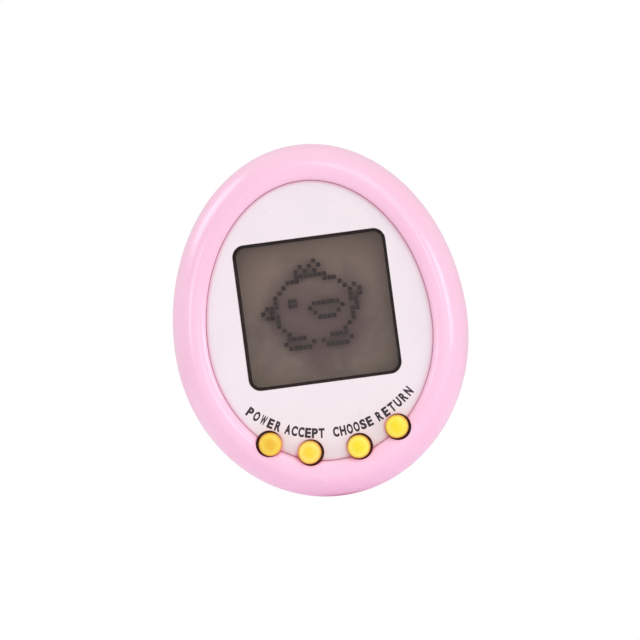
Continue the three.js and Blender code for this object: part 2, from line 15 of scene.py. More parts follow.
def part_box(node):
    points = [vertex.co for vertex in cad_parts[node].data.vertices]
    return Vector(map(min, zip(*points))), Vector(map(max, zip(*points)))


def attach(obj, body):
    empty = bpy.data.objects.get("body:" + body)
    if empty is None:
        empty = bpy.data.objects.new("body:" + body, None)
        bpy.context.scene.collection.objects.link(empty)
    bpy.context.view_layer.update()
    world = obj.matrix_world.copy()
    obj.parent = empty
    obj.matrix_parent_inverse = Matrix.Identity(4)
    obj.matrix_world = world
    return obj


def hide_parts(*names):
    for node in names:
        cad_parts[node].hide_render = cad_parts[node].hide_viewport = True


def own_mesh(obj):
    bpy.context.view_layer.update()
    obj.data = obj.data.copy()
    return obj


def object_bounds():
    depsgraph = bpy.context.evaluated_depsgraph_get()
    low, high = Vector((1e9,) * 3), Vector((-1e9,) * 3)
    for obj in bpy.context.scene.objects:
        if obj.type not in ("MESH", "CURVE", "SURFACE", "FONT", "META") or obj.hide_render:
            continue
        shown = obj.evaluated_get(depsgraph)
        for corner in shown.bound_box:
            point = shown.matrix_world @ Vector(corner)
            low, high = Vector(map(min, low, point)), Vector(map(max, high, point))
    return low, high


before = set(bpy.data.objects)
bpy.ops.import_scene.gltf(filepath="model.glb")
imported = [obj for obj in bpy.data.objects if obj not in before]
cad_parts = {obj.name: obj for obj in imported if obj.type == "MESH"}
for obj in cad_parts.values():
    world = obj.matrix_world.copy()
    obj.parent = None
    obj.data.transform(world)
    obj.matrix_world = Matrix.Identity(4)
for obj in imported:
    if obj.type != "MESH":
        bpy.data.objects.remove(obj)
cad_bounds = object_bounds()

MM = 0.001
TURN = 2 * math.pi


# ---- Sizes taken from the frame, in millimetres ----


def box(node):
    low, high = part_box(node)
    return low / MM, high / MM


def middle(node):
    low, high = box(node)
    return (low + high) / 2


cover_low, cover_high = box("front_cover")
plate_low, plate_high = box("face_plate")
lens_low, lens_high = box("screen_lens")
gasket_low, gasket_high = box("screen_gasket")

HALF_WIDTH = cover_high.x
TOP_REACH = cover_high.z
BOTTOM_REACH = -cover_low.z
CREST_Y = cover_low.y
SEAM_Y = cover_high.y
PLATE_INSET = HALF_WIDTH - plate_high.x
TOP_SHARE = (TOP_REACH - plate_high.z) / PLATE_INSET
BOTTOM_SHARE = (BOTTOM_REACH + plate_low.z) / PLATE_INSET
FLOOR_FRONT = lens_low.y
FLOOR_BACK = lens_high.y + 0.1

SEAT_RADIUS = plate_high.x + 0.1
CREST_RADIUS = HALF_WIDTH - 3.6
SEAT_EDGE_Y = plate_low.y - 0.35
BACK_FLAT_RADIUS = HALF_WIDTH - 9.5
WALL = 1.6
SEAM_ROUND = 0.28
EGG_SEGMENTS = 176
# Posts start a little inside the floor, so that they join it, and cutters run past what they cut.
FLOOR_START = FLOOR_FRONT + 0.1
CUT_START_Y = -3.0
PAST_BACK = 1.0

LENS_LAP = 1.0
WINDOW_WIDTH = lens_high.x - lens_low.x - 2 * LENS_LAP
WINDOW_HEIGHT = lens_high.z - lens_low.z - 2 * LENS_LAP
WINDOW_Z = (lens_high.z + lens_low.z) / 2
WINDOW_CORNER = 1.8
LENS_CORNER = WINDOW_CORNER + 0.5
SCREEN_BORDER = 0.45
GASKET_CORNER = 2.5
OPENING_MARGIN = 1.1
OPENING_CORNER = WINDOW_CORNER + 0.6

KEYS = ["power", "accept", "choose", "return"]
KEY_HOLE_RADIUS = 1.95
KEY_BOSS_RADIUS = 2.9
KEY_RADIUS = 1.72
# How far across and up each cap stands from the middle of its hole, so the gap round it is uneven.
KEY_LEAN = {"power": (0.2, -0.1), "accept": (-0.18, 0.08), "choose": (-0.16, -0.02), "return": (-0.18, 0.09)}

CASE_SCREWS = [f"case_screw_{corner}" for corner in ("top_left", "top_right", "lower_left", "lower_right")]
CASE_POST_RADIUS = 2.1
CASE_POST_END = SEAM_Y - 0.15
CASE_PILOT_RADIUS = 1.08
SCREW_COLUMN_RADIUS = 2.9
HEAD_RECESS_RADIUS = 2.1
HEAD_RECESS_DEPTH = 1.3
SCREW_CLEARANCE_RADIUS = 1.12

BOARD_SCREWS = ["board_screw_left", "board_screw_right"]
BOARD_POST_RADIUS = 1.5
BOARD_POST_END = middle("circuit_board").y - 0.55
BOARD_PILOT_RADIUS = 0.78
PILOT_START = FLOOR_BACK - 0.4

door_low = box("battery_door")[0]
DOOR_CORNER = 5.0
DOOR_GAP = 0.15
DOOR_INSIDE_Y = -1.3
DOOR_SCREW = "battery_door_screw"
DOOR_PILOT_RADIUS = 0.92
DOOR_HOLE_RADIUS = 0.95
DOOR_HEAD_RADIUS = 1.75
DOOR_HEAD_SEAT_Y = -1.25
GROOVE_COUNT = 3
GROOVE_LENGTH = 7.5
GROOVE_TAPER = 1.0
GROOVE_WIDTH = 0.5
GROOVE_CORNER = 0.24
GROOVE_PITCH = 1.1
GROOVE_Z = door_low.z + 2.6
GROOVE_FLOOR_Y = -0.45

CELLS = ["battery_left", "battery_right"]
cell_low = box(CELLS[0])[0]
CELL_RADIUS = middle(CELLS[0]).x - cell_low.x
CELL_GAP = 0.25
TRAY_FLOOR = cell_low.y - 0.35
TRAY_WALL = 0.85
CONTACT_SLOT_WIDTH = 2.1
CONTACT_SLOT_HEIGHT = 0.8
CONTACT_SLOT_DROP = 4.4

strap_low, strap_high = box("strap_bar")
STRAP_RADIUS = (strap_high.z - strap_low.z) / 2
STRAP_Z = (strap_high.z + strap_low.z) / 2
STRAP_Y = (strap_high.y + strap_low.y) / 2
NOTCH_WIDTH = 7.2
NOTCH_LOW = STRAP_Z - 2.4
NOTCH_HIGH = STRAP_Z + 3.2
NOTCH_FLOOR_Y = STRAP_Y - 2.0
NOTCH_CORNER = 0.9

SOUNDER = middle("sounder_disc")
SOUNDER_RING_INNER = 7.7
SOUNDER_RING_OUTER = 8.6
SOUNDER_RING_Y = -3.2
SOUND_HOLE_RADIUS = 0.5
SOUND_HOLE_PITCH = 2.2


# ---- Mesh building ----


def on_egg(radius, angle, y):
    """A turned profile's point stretched to the egg: HALF_WIDTH is its outline, less is inside it."""
    inset = HALF_WIDTH - radius
    rise = math.sin(angle)
    reach = TOP_REACH - TOP_SHARE * inset if rise > 0 else BOTTOM_REACH - BOTTOM_SHARE * inset
    return Vector((radius * math.cos(angle), y, reach * rise))


def about(x, z):
    """Places a turned profile round an axis along Y through (x, z)."""

    def place(radius, angle, y):
        return Vector((x + radius * math.cos(angle), y, z + radius * math.sin(angle)))

    return place


def arc(centre, radii, start, end, steps):
    """Points (radius, y) along an elliptical arc, angles in degrees."""
    points = []
    for step in range(steps + 1):
        angle = math.radians(start + (end - start) * step / steps)
        points.append((centre[0] + radii[0] * math.cos(angle), centre[1] + radii[1] * math.sin(angle)))
    return points


def turned(profile, place, segments):
    """Turns a profile of (radius, y) points. It starts and ends on the axis, or closes on itself."""
    mesh = bmesh.new()
    rings = []
    for radius, y in profile:
        if radius < 1e-6:
            rings.append([mesh.verts.new(place(0.0, 0.0, y))])
        else:
            rings.append([mesh.verts.new(place(radius, TURN * k / segments, y)) for k in range(segments)])
    pairs = list(zip(rings, rings[1:]))
    if len(rings[0]) > 1:
        pairs.append((rings[-1], rings[0]))
    for near, far in pairs:
        for k in range(segments):
            after = k + 1
            corners = [near[k % len(near)], near[after % len(near)], far[after % len(far)], far[k % len(far)]]
            unique = list(dict.fromkeys(corners))
            if len(unique) > 2:
                mesh.faces.new(unique)
    bmesh.ops.recalc_face_normals(mesh, faces=mesh.faces)
    return mesh


def slab(outline, front, back):
    """A flat piece: an outline of (x, z) points between two depths."""
    mesh = bmesh.new()
    near = [mesh.verts.new((x, front, z)) for x, z in outline]
    far = [mesh.verts.new((x, back, z)) for x, z in outline]
    mesh.faces.new(near)
    mesh.faces.new(list(reversed(far)))
    count = len(outline)
    for k in range(count):
        mesh.faces.new([near[k], far[k], far[(k + 1) % count], near[(k + 1) % count]])
    bmesh.ops.recalc_face_normals(mesh, faces=mesh.faces)
    return mesh


def ring_slab(outer, inner, front, back):
    """A flat frame between two outlines that have the same number of points."""
    mesh = bmesh.new()
    loops = [
        [mesh.verts.new((x, y, z)) for x, z in outline]
        for outline, y in ((outer, front), (outer, back), (inner, back), (inner, front))
    ]
    count = len(outer)
    for near, far in zip(loops, loops[1:] + loops[:1]):
        for k in range(count):
            mesh.faces.new([near[k], near[(k + 1) % count], far[(k + 1) % count], far[k]])
    bmesh.ops.recalc_face_normals(mesh, faces=mesh.faces)
    return mesh


def egg_outline(inset, segments=EGG_SEGMENTS):
    points = [on_egg(HALF_WIDTH - inset, TURN * k / segments, 0) for k in range(segments)]
    return [(point.x, point.z) for point in points]


def rounded_rect(width, height, corner, z, steps=10):
    """The outline of a rounded rectangle whose middle is at (0, z)."""
    points = []
    for quarter, (side, up) in enumerate(((1, 1), (-1, 1), (-1, -1), (1, -1))):
        for step in range(steps + 1):
            angle = math.radians(90 * (quarter + step / steps))
            points.append((
                side * (width / 2 - corner) + corner * math.cos(angle),
                z + up * (height / 2 - corner) + corner * math.sin(angle),
            ))
    return points


def node_outline(node, corner, grow=0.0, steps=10):
    """A rounded rectangle as wide and high as a CAD node that lies across X = 0, grown on every side."""
    low, high = box(node)
    size = high - low
    return rounded_rect(size.x + 2 * grow, size.z + 2 * grow, corner, middle(node).z, steps)


def circle(radius, x, z, segments=40):
    return [(x + radius * math.cos(TURN * k / segments), z + radius * math.sin(TURN * k / segments))
            for k in range(segments)]


def rod(radius, front, back, x, z, segments=40):
    return slab(circle(radius, x, z, segments), front, back)


def rod_at(node, radius, front, back, segments=40):
    """A rod on the axis of a CAD node."""
    at = middle(node)
    return rod(radius, front, back, at.x, at.z, segments)


def block(width, front, back, height, x, z):
    return slab([(x - width / 2, z - height / 2), (x + width / 2, z - height / 2),
                 (x + width / 2, z + height / 2), (x - width / 2, z + height / 2)], front, back)


def bar_along_x(radius, length, y, z, segments=32, edge=0.0):
    """A round bar along X, with its ends chamfered by edge."""
    half = length / 2
    profile = [(0, -half), (radius - edge, -half), (radius, -half + edge), (radius, half - edge),
               (radius - edge, half), (0, half)]
    mesh = turned([p for k, p in enumerate(profile) if k == 0 or p != profile[k - 1]], about(0, 0), segments)
    mesh.transform(Matrix.Translation((0, y, z)) @ Matrix.Rotation(math.pi / 2, 4, "Z"))
    return mesh


def add_to_scene(name, data):
    thing = bpy.data.objects.new(name, data)
    bpy.context.scene.collection.objects.link(thing)
    return thing


def as_object(name, mesh):
    """A bmesh in millimetres as an object in metres."""
    mesh.transform(Matrix.Scale(MM, 4))
    data = bpy.data.meshes.new(name)
    mesh.to_mesh(data)
    mesh.free()
    return add_to_scene(name, data)


def bake(thing):
    """Applies an object's modifiers."""
    bpy.context.view_layer.update()
    graph = bpy.context.evaluated_depsgraph_get()
    data = bpy.data.meshes.new_from_object(thing.evaluated_get(graph))
    old = thing.data
    thing.modifiers.clear()
    thing.data = data
    bpy.data.meshes.remove(old)


def carve(thing, operation, *meshes):
    """Joins, cuts or intersects the object with each mesh in turn."""
    for mesh in meshes:
        tool = as_object("carving_tool", mesh)
        step = thing.modifiers.new("carve", "BOOLEAN")
        step.operation = operation
        step.solver = "MANIFOLD"
        step.object = tool
        bake(thing)
        bpy.data.objects.remove(tool)


def cut(thing, *meshes):
    carve(thing, "DIFFERENCE", *meshes)


def join(thing, *meshes):
    carve(thing, "UNION", *meshes)


WELD_BEFORE_ROUNDING = 0.01
WELD_AFTER_ROUNDING = 0.002
SHARP_ANGLE = 38


def weld(thing, reach):
    """Joins vertices closer than reach, in millimetres, and drops faces and vertices this leaves over."""
    mesh = bmesh.new()
    mesh.from_mesh(thing.data)
    bmesh.ops.remove_doubles(mesh, verts=mesh.verts, dist=reach * MM)
    bmesh.ops.dissolve_degenerate(mesh, dist=reach * MM, edges=mesh.edges)
    loose = [vertex for vertex in mesh.verts if not vertex.link_faces]
    bmesh.ops.delete(mesh, geom=loose, context="VERTS")
    mesh.to_mesh(thing.data)
    mesh.free()


def soften(thing, width, segments=2, angle=50):
    """Rounds the object's sharp edges by width, in millimetres, or by less.

    One limit holds for the whole object: what fits at its tightest spot. It leaves about 0.01 mm on the
    front shell, the face panel and the door, and next to nothing on the rear shell.
    """
    weld(thing, WELD_BEFORE_ROUNDING)
    step = thing.modifiers.new("round_edges", "BEVEL")
    step.width = width * MM
    step.segments = segments
    step.limit_method = "ANGLE"
    step.angle_limit = math.radians(angle)
    step.use_clamp_overlap = True
    bake(thing)
    weld(thing, WELD_AFTER_ROUNDING)


def smooth(thing):
    """Shades curved surfaces smoothly, and keeps flat faces flat right up to a rounded edge."""
    thing.data.shade_smooth()
    thing.data.set_sharp_from_angle(angle=math.radians(SHARP_ANGLE))
    step = thing.modifiers.new("flat_faces", "WEIGHTED_NORMAL")
    step.keep_sharp = True
    bake(thing)


def finish_piece(thing, look, slot, body, *replaced):
    """Gives a piece its material and its body, and hides the CAD nodes it stands for; the slot is not used.
    """
    smooth(thing)
    thing.data.materials.clear()
    thing.data.materials.append(look)
    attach(thing, body)
    if replaced:
        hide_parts(*replaced)


# ---- Materials ----


def srgb(red, green, blue):
    """An 8-bit screen colour as linear RGBA."""

    def linear(value):
        value /= 255
        return value / 12.92 if value <= 0.04045 else ((value + 0.055) / 1.055) ** 2.4

    return (linear(red), linear(green), linear(blue), 1.0)


class Look:
    """A material under construction: a principled surface and short names for the nodes that feed it."""

    def __init__(self, name):
        self.material = bpy.data.materials.new(name)
        self.material.use_nodes = True
        self.nodes = self.material.node_tree.nodes
        self.links = self.material.node_tree.links
        self.nodes.clear()
        self.output = self.nodes.new("ShaderNodeOutputMaterial")
        self.surface = self.nodes.new("ShaderNodeBsdfPrincipled")
        self.links.new(self.surface.outputs[0], self.output.inputs["Surface"])
        self.coordinates = self.nodes.new("ShaderNodeTexCoord").outputs["Object"]

    def feed(self, socket, value):
        """Connects an output to an input, or sets the input's value."""
        if isinstance(value, bpy.types.NodeSocket):
            self.links.new(value, socket)
        else:
            socket.default_value = value

    def set(self, **inputs):
        for name, value in inputs.items():
            self.feed(self.surface.inputs[name.replace("_", " ")], value)

    def stretched(self, x, y, z):
        """The object's coordinates, stretched along each axis."""
        node = self.nodes.new("ShaderNodeMapping")
        self.feed(node.inputs["Vector"], self.coordinates)
        node.inputs["Scale"].default_value = (x, y, z)
        return node.outputs[0]

    def noise(self, size, detail=2.0, rough=0.5, vector=None, distortion=0.0):
        """Noise whose features are about size millimetres."""
        node = self.nodes.new("ShaderNodeTexNoise")
        self.feed(node.inputs["Vector"], vector or self.coordinates)
        node.inputs["Scale"].default_value = 1 / (size * MM)
        node.inputs["Detail"].default_value = detail
        node.inputs["Roughness"].default_value = rough
        node.inputs["Distortion"].default_value = distortion
        return node.outputs["Fac"]

    def spread(self, value, low, high, to_low=0.0, to_high=1.0, soft=True):
        """Maps a value from one range to another, clamped."""
        node = self.nodes.new("ShaderNodeMapRange")
        node.interpolation_type = "SMOOTHSTEP" if soft else "LINEAR"
        node.clamp = True
        for name, number in zip(("Value", "From Min", "From Max", "To Min", "To Max"),
                                (value, low, high, to_low, to_high)):
            self.feed(node.inputs[name], number)
        return node.outputs[0]

    def blend(self, share, first, second):
        """The first colour where share is 0 and the second where it is 1."""
        node = self.nodes.new("ShaderNodeMix")
        node.data_type = "RGBA"
        self.feed(node.inputs[0], share)
        self.feed(node.inputs[6], first)
        self.feed(node.inputs[7], second)
        return node.outputs[2]

    def maths(self, operation, first, second=0.0):
        node = self.nodes.new("ShaderNodeMath")
        node.operation = operation
        self.feed(node.inputs[0], first)
        self.feed(node.inputs[1], second)
        return node.outputs[0]

    def openness(self, distance):
        """1 on open surfaces and less in creases, looking distance millimetres away."""
        node = self.nodes.new("ShaderNodeAmbientOcclusion")
        node.samples = 16
        node.inputs["Distance"].default_value = distance * MM
        return node.outputs["AO"]

    def tilt(self):
        """0 where the surface faces the viewer, and 1 where it is seen edge on."""
        node = self.nodes.new("ShaderNodeLayerWeight")
        node.inputs["Blend"].default_value = 0.5
        return node.outputs["Facing"]

    def position(self):
        """X, Y and Z of the point in metres."""
        node = self.nodes.new("ShaderNodeSeparateXYZ")
        self.feed(node.inputs[0], self.coordinates)
        return node.outputs

    def distance(self, x, z, width=1.0, height=1.0):
        """How far the point is from (x, z), in units of width and height, all in millimetres."""
        place = self.position()
        across = self.maths("DIVIDE", self.maths("SUBTRACT", place[0], x * MM), width * MM)
        up = self.maths("DIVIDE", self.maths("SUBTRACT", place[2], z * MM), height * MM)
        squares = self.maths("ADD", self.maths("POWER", across, 2.0), self.maths("POWER", up, 2.0))
        return self.maths("SQRT", squares)

    def bump(self, height, depth, strength=1.0):
        """Raises the surface by height times depth millimetres."""
        node = self.nodes.new("ShaderNodeBump")
        node.inputs["Strength"].default_value = strength
        node.inputs["Distance"].default_value = depth * MM
        self.feed(node.inputs["Height"], height)
        self.feed(self.surface.inputs["Normal"], node.outputs[0])


def moulded_plastic(name, light, deep, crease_shade, roughness=0.24, mottle=9.0, shine=0.95, reach=1.0):
    """Injection-moulded plastic: faint flow mottle, orange peel, hairline scratches, and painted shade that
    deepens the colour in creases.
    """
    look = Look(name)
    flow = look.noise(mottle, 2.0, 0.5)
    fine = look.noise(0.35, 2.0)
    body = look.blend(look.spread(flow, 0.32, 0.7), light, deep)
    speckled = look.blend(look.spread(fine, 0.35, 0.75, 0.0, 0.1), body, deep)
    # Painted shade: the colour turns to the crease colour where the occlusion node finds creases.
    crease_shade_mask = look.spread(look.openness(reach), 0.4, 0.98, 1.0, 0.0)
    look.set(Base_Color=look.blend(crease_shade_mask, speckled, crease_shade))

    hairlines = look.noise(1.0, 4.0, 0.7, vector=look.stretched(9.0, 1.0, 0.7))
    crossing = look.noise(1.0, 4.0, 0.7, vector=look.stretched(0.8, 1.0, 8.0))
    scratch = look.maths("MAXIMUM", look.spread(hairlines, 0.66, 0.74), look.spread(crossing, 0.67, 0.75))
    smudge = look.noise(4.5, 3.0, 0.6)
    base_rough = look.spread(smudge, 0.3, 0.75, roughness - 0.05, roughness + 0.08)
    look.set(Roughness=look.maths("ADD", base_rough, look.maths("MULTIPLY", scratch, 0.025)))
    look.set(Specular_IOR_Level=look.spread(look.tilt(), 0.45, 0.9, shine, 0.12), IOR=1.49)
    peel = look.noise(1.3, 2.0)
    relief = look.maths("ADD", peel, look.maths("MULTIPLY", fine, 0.1))
    look.bump(relief, 0.005, 0.4)
    return look.material


# Painted shade on the caps: amber on the rounded shoulder, and orange-brown on the side deeper in the hole.
KEY_SHOULDER_SHADE = srgb(230, 154, 34)
KEY_SIDE_SHADE = srgb(196, 98, 40)


def key_plastic(name, x, z, middle_color, edge_color):
    """A yellow cap, richer in the middle, with painted shade: an amber shoulder and an orange side."""
    look = Look(name)
    away = look.distance(x, z)
    cloud = look.noise(0.7, 3.0, 0.6)
    patches = look.spread(cloud, 0.2, 0.8, -0.22, 0.22, soft=False)
    wash = look.maths("ADD", look.spread(away, 0.35, 1.45), patches)
    face = look.blend(look.spread(wash, 0.0, 1.0), middle_color, edge_color)
    # Painted shade: the rounded shoulder turns amber towards the cap's edge.
    shoulder_shade = look.spread(away, KEY_RADIUS - 0.36, KEY_RADIUS - 0.06, 0.0, 0.8)
    ringed = look.blend(shoulder_shade, face, KEY_SHOULDER_SHADE)
    # Painted shade: the side turns orange-brown deeper in the hole, behind the face panel's front.
    depth = look.spread(look.position()[1], (plate_low.y - 0.1) * MM, (plate_low.y + 1.2) * MM)
    look.set(Base_Color=look.blend(depth, ringed, KEY_SIDE_SHADE))
    look.set(Roughness=look.spread(look.noise(0.9, 3.0), 0.3, 0.7, 0.26, 0.4))
    look.set(Coat_Weight=0.25, Coat_Roughness=0.15, Subsurface_Weight=0.12, Subsurface_Scale=0.5 * MM)
    look.bump(look.noise(0.45, 3.0), 0.012, 0.5)
    return look.material


def clear_sheet(name, tint, gloss, smear):
    """Clear plastic or glass thin enough not to bend what is behind it, with faint smears in its gloss."""
    look = Look(name)
    look.nodes.remove(look.surface)
    through = look.nodes.new("ShaderNodeBsdfTransparent")
    look.feed(through.inputs["Color"], tint)
    shine = look.nodes.new("ShaderNodeBsdfGlossy")
    smears = look.noise(3.0, 4.0, 0.65, distortion=1.2)
    look.feed(shine.inputs["Roughness"], look.spread(smears, 0.35, 0.75, smear, smear + 0.05))
    look.feed(shine.inputs["Color"], (gloss, gloss, gloss, 1.0))
    glancing = look.maths("POWER", look.tilt(), 5.0)
    mix = look.nodes.new("ShaderNodeMixShader")
    look.feed(mix.inputs[0], look.spread(glancing, 0.0, 1.0, 0.015, 0.9, soft=False))
    look.feed(mix.inputs[1], through.outputs[0])
    look.feed(mix.inputs[2], shine.outputs[0])
    look.feed(look.output.inputs["Surface"], mix.outputs[0])
    return look.material


def display_film(name):
    """The unlit display: warm grey, lighter and warmer towards its edges and its top, with a fine grain."""
    centre = srgb(140, 124, 126)
    rim = srgb(184, 170, 163)
    warm = srgb(192, 170, 160)
    speck = srgb(104, 90, 88)
    look = Look(name)
    away = look.distance(-0.3, WINDOW_Z - 0.9, WINDOW_WIDTH / 2, WINDOW_HEIGHT / 2)
    cloud = look.noise(5.5, 3.0, 0.6, distortion=0.8)
    spread_out = look.maths("ADD", away, look.spread(cloud, 0.25, 0.75, -0.2, 0.2, soft=False))
    ground = look.blend(look.spread(spread_out, 0.35, 1.15), centre, rim)
    rising = look.spread(look.position()[2], (WINDOW_Z - 2) * MM, (WINDOW_Z + 11) * MM)
    warmed = look.blend(look.maths("MULTIPLY", rising, 0.35), ground, warm)
    grain = look.noise(0.18, 2.0)
    look.set(Base_Color=look.blend(look.spread(grain, 0.3, 0.7, 0.0, 0.12), warmed, speck))
    look.set(Roughness=0.55, Specular_IOR_Level=0.15)
    look.bump(grain, 0.004, 0.3)
    return look.material


def rubbery(name, color, dark, roughness=0.75, grain=0.3):
    """Rubber, silicone, foam or a soft coating, with a fine grain."""
    look = Look(name)
    cells = look.noise(grain, 4.0, 0.65)
    look.set(Base_Color=look.blend(look.spread(cells, 0.3, 0.7), color, dark))
    look.set(Roughness=look.spread(look.noise(grain * 4), 0.3, 0.7, roughness - 0.08, roughness + 0.08))
    look.bump(cells, 0.02, 0.6)
    return look.material


def metal(name, color, worn_and_shaded, roughness, grain=(1.0, 1.0, 14.0)):
    """Plated or bare metal with a directional grain, dull spots, and painted shade that darkens its creases.
    """
    look = Look(name)
    lines = look.noise(0.8, 4.0, 0.7, vector=look.stretched(*grain))
    spots = look.noise(1.4, 4.0, 0.6)
    tone = look.blend(look.spread(spots, 0.45, 0.8, 0.0, 0.6), color, worn_and_shaded)
    # Painted shade: the colour darkens towards the worn colour in creases that the occlusion node finds.
    shaded = look.blend(look.spread(look.openness(0.5), 0.3, 0.9, 0.7, 0.0), tone, worn_and_shaded)
    look.set(Base_Color=shaded, Metallic=1.0)
    look.set(Roughness=look.spread(lines, 0.3, 0.7, roughness - 0.07, roughness + 0.12))
    look.bump(lines, 0.003, 0.5)
    return look.material


def circuit_mask(name):
    """Green solder mask with slightly raised tracks under it."""
    look = Look(name)
    tracks = look.nodes.new("ShaderNodeTexBrick")
    look.feed(tracks.inputs["Vector"], look.stretched(1.0, 1.0, 1.0))
    tracks.inputs["Scale"].default_value = 1 / (6 * MM)
    tracks.inputs["Mortar Size"].default_value = 0.04
    tone = look.blend(look.spread(look.noise(3.0, 3.0), 0.3, 0.7), srgb(38, 92, 52), srgb(28, 72, 42))
    look.set(Base_Color=look.blend(tracks.outputs["Fac"], tone, srgb(70, 128, 74)))
    look.set(Roughness=0.35, Coat_Weight=0.3)
    look.bump(tracks.outputs["Fac"], 0.03, 0.6)
    return look.material


def printing_ink(name, color, faded):
    """Dry pad-printed ink: slightly uneven in cover and duller than the plastic under it."""
    look = Look(name)
    cover = look.noise(0.25, 4.0, 0.7)
    look.set(Base_Color=look.blend(look.spread(cover, 0.45, 0.8), color, faded))
    look.set(Roughness=look.spread(cover, 0.3, 0.7, 0.45, 0.62))
    look.bump(cover, 0.006, 0.5)
    return look.material


# The third colour of each moulded plastic is painted shade for its creases; the plate's is pink, painted
# shade with the rim's bounced pink light in it.
PINK = moulded_plastic("pink_moulded", srgb(253, 203, 227), srgb(252, 198, 223), srgb(228, 142, 178))
PLATE = moulded_plastic("plate_moulded", srgb(240, 230, 233), srgb(237, 228, 231), srgb(236, 166, 192),
                        roughness=0.32, mottle=6.0, shine=0.5, reach=0.7)
PANE = clear_sheet("clear_pane", (0.97, 0.97, 0.965, 1.0), gloss=0.7, smear=0.02)
POLARISER = clear_sheet("polariser_glass", (0.96, 0.95, 0.94, 1.0), gloss=0.08, smear=0.02)
FILM = display_film("display_film")
DOTS = printing_ink("display_dots", srgb(54, 40, 42), srgb(64, 50, 51))
INK = printing_ink("label_ink", srgb(38, 28, 34), srgb(62, 52, 58))
FOAM = rubbery("black_foam", srgb(46, 14, 12), srgb(26, 6, 6), 0.85, 0.25)
SILICONE = rubbery("grey_silicone", srgb(206, 203, 196), srgb(190, 187, 180), 0.6, 0.4)
CARBON = rubbery("carbon_rubber", srgb(26, 26, 28), srgb(14, 14, 15), 0.8, 0.2)
ZEBRA = rubbery("zebra_rubber", srgb(214, 164, 158), srgb(70, 62, 60), 0.7, 0.3)
WHITE = moulded_plastic("white_moulded", srgb(232, 230, 225), srgb(224, 222, 216), srgb(170, 166, 160),
                        roughness=0.4, shine=0.5)
STEEL = metal("plated_steel", srgb(196, 198, 202), srgb(120, 120, 124), 0.28)
NICKEL = metal("cell_nickel", srgb(212, 213, 214), srgb(150, 150, 150), 0.2, grain=(2.0, 8.0, 2.0))
BRASS = metal("sounder_brass", srgb(214, 178, 96), srgb(140, 106, 50), 0.32)
CERAMIC = rubbery("silvered_ceramic", srgb(216, 212, 200), srgb(196, 192, 180), 0.5, 0.5)
EPOXY = rubbery("black_epoxy", srgb(22, 22, 23), srgb(12, 12, 12), 0.35, 0.6)
BROWN = rubbery("brown_chip", srgb(140, 96, 56), srgb(110, 74, 42), 0.5, 0.4)
RED_WIRE = rubbery("red_insulation", srgb(176, 32, 30), srgb(150, 24, 24), 0.45, 0.5)
BLACK_WIRE = rubbery("black_insulation", srgb(26, 26, 27), srgb(16, 16, 16), 0.45, 0.5)
BOARD = circuit_mask("solder_mask")


# ---- The case ----


def key_holes():
    return [rod_at(f"{key}_button", KEY_HOLE_RADIUS, CREST_Y - 1, SEAM_Y - 2, segments=56) for key in KEYS]


def front_shell():
    """The pink front: a rounded rim, a seat for the face panel, a floor, and posts for the screws."""
    crest_to_seat = CREST_RADIUS - SEAT_RADIUS
    outer = arc((CREST_RADIUS, SEAM_Y), (HALF_WIDTH - CREST_RADIUS, SEAM_Y - CREST_Y), -90, -2, 30)
    seam_round = arc((HALF_WIDTH - SEAM_ROUND, SEAM_Y - SEAM_ROUND), (SEAM_ROUND, SEAM_ROUND), 0, 90, 4)
    inner_wall = HALF_WIDTH - WALL
    core = CREST_RADIUS + 0.3
    profile = [(0, FLOOR_FRONT), (SEAT_RADIUS, FLOOR_FRONT)]
    profile += arc((CREST_RADIUS, SEAT_EDGE_Y), (-crest_to_seat, CREST_Y - SEAT_EDGE_Y), 0, 90, 16)
    profile += outer[1:] + seam_round[1:]
    profile += [(inner_wall, SEAM_Y)]
    floor_edge = SEAT_RADIUS + 1.4
    profile += arc((core, SEAM_Y), (inner_wall - core, FLOOR_START - SEAM_Y), 6, 90, 8)
    profile += [(floor_edge, FLOOR_START), (floor_edge, FLOOR_BACK), (0, FLOOR_BACK)]
    shell = as_object("front_shell", turned(profile, on_egg, EGG_SEGMENTS))

    for key in KEYS:
        join(shell, rod_at(f"{key}_button", KEY_BOSS_RADIUS, FLOOR_START, FLOOR_BACK))
    for screw_node in CASE_SCREWS:
        join(shell, rod_at(screw_node, CASE_POST_RADIUS, FLOOR_START, CASE_POST_END))
        cut(shell, rod_at(screw_node, CASE_PILOT_RADIUS, PILOT_START, 0))
    for screw_node in BOARD_SCREWS:
        join(shell, rod_at(screw_node, BOARD_POST_RADIUS, FLOOR_START, BOARD_POST_END))
        cut(shell, rod_at(screw_node, BOARD_PILOT_RADIUS, PILOT_START, 0))
    opening = rounded_rect(WINDOW_WIDTH + 2 * OPENING_MARGIN, WINDOW_HEIGHT + 2 * OPENING_MARGIN,
                           OPENING_CORNER, WINDOW_Z)
    cut(shell, slab(opening, CREST_Y, SEAM_Y), *key_holes())
    soften(shell, width=0.09)
    finish_piece(shell, PINK, "pink_plastic", "case", "front_cover")


def face_panel():
    """The pale plate, with its window, and bites where the keys cross its outline."""
    panel = as_object("face_panel", slab(egg_outline(PLATE_INSET - 0.05), plate_low.y, plate_high.y))
    window = rounded_rect(WINDOW_WIDTH, WINDOW_HEIGHT, WINDOW_CORNER, WINDOW_Z, steps=14)
    cut(panel, slab(window, CREST_Y, SEAM_Y), *key_holes())
    soften(panel, width=0.25, segments=4)
    finish_piece(panel, PLATE, "plate_plastic", "case", "face_plate")


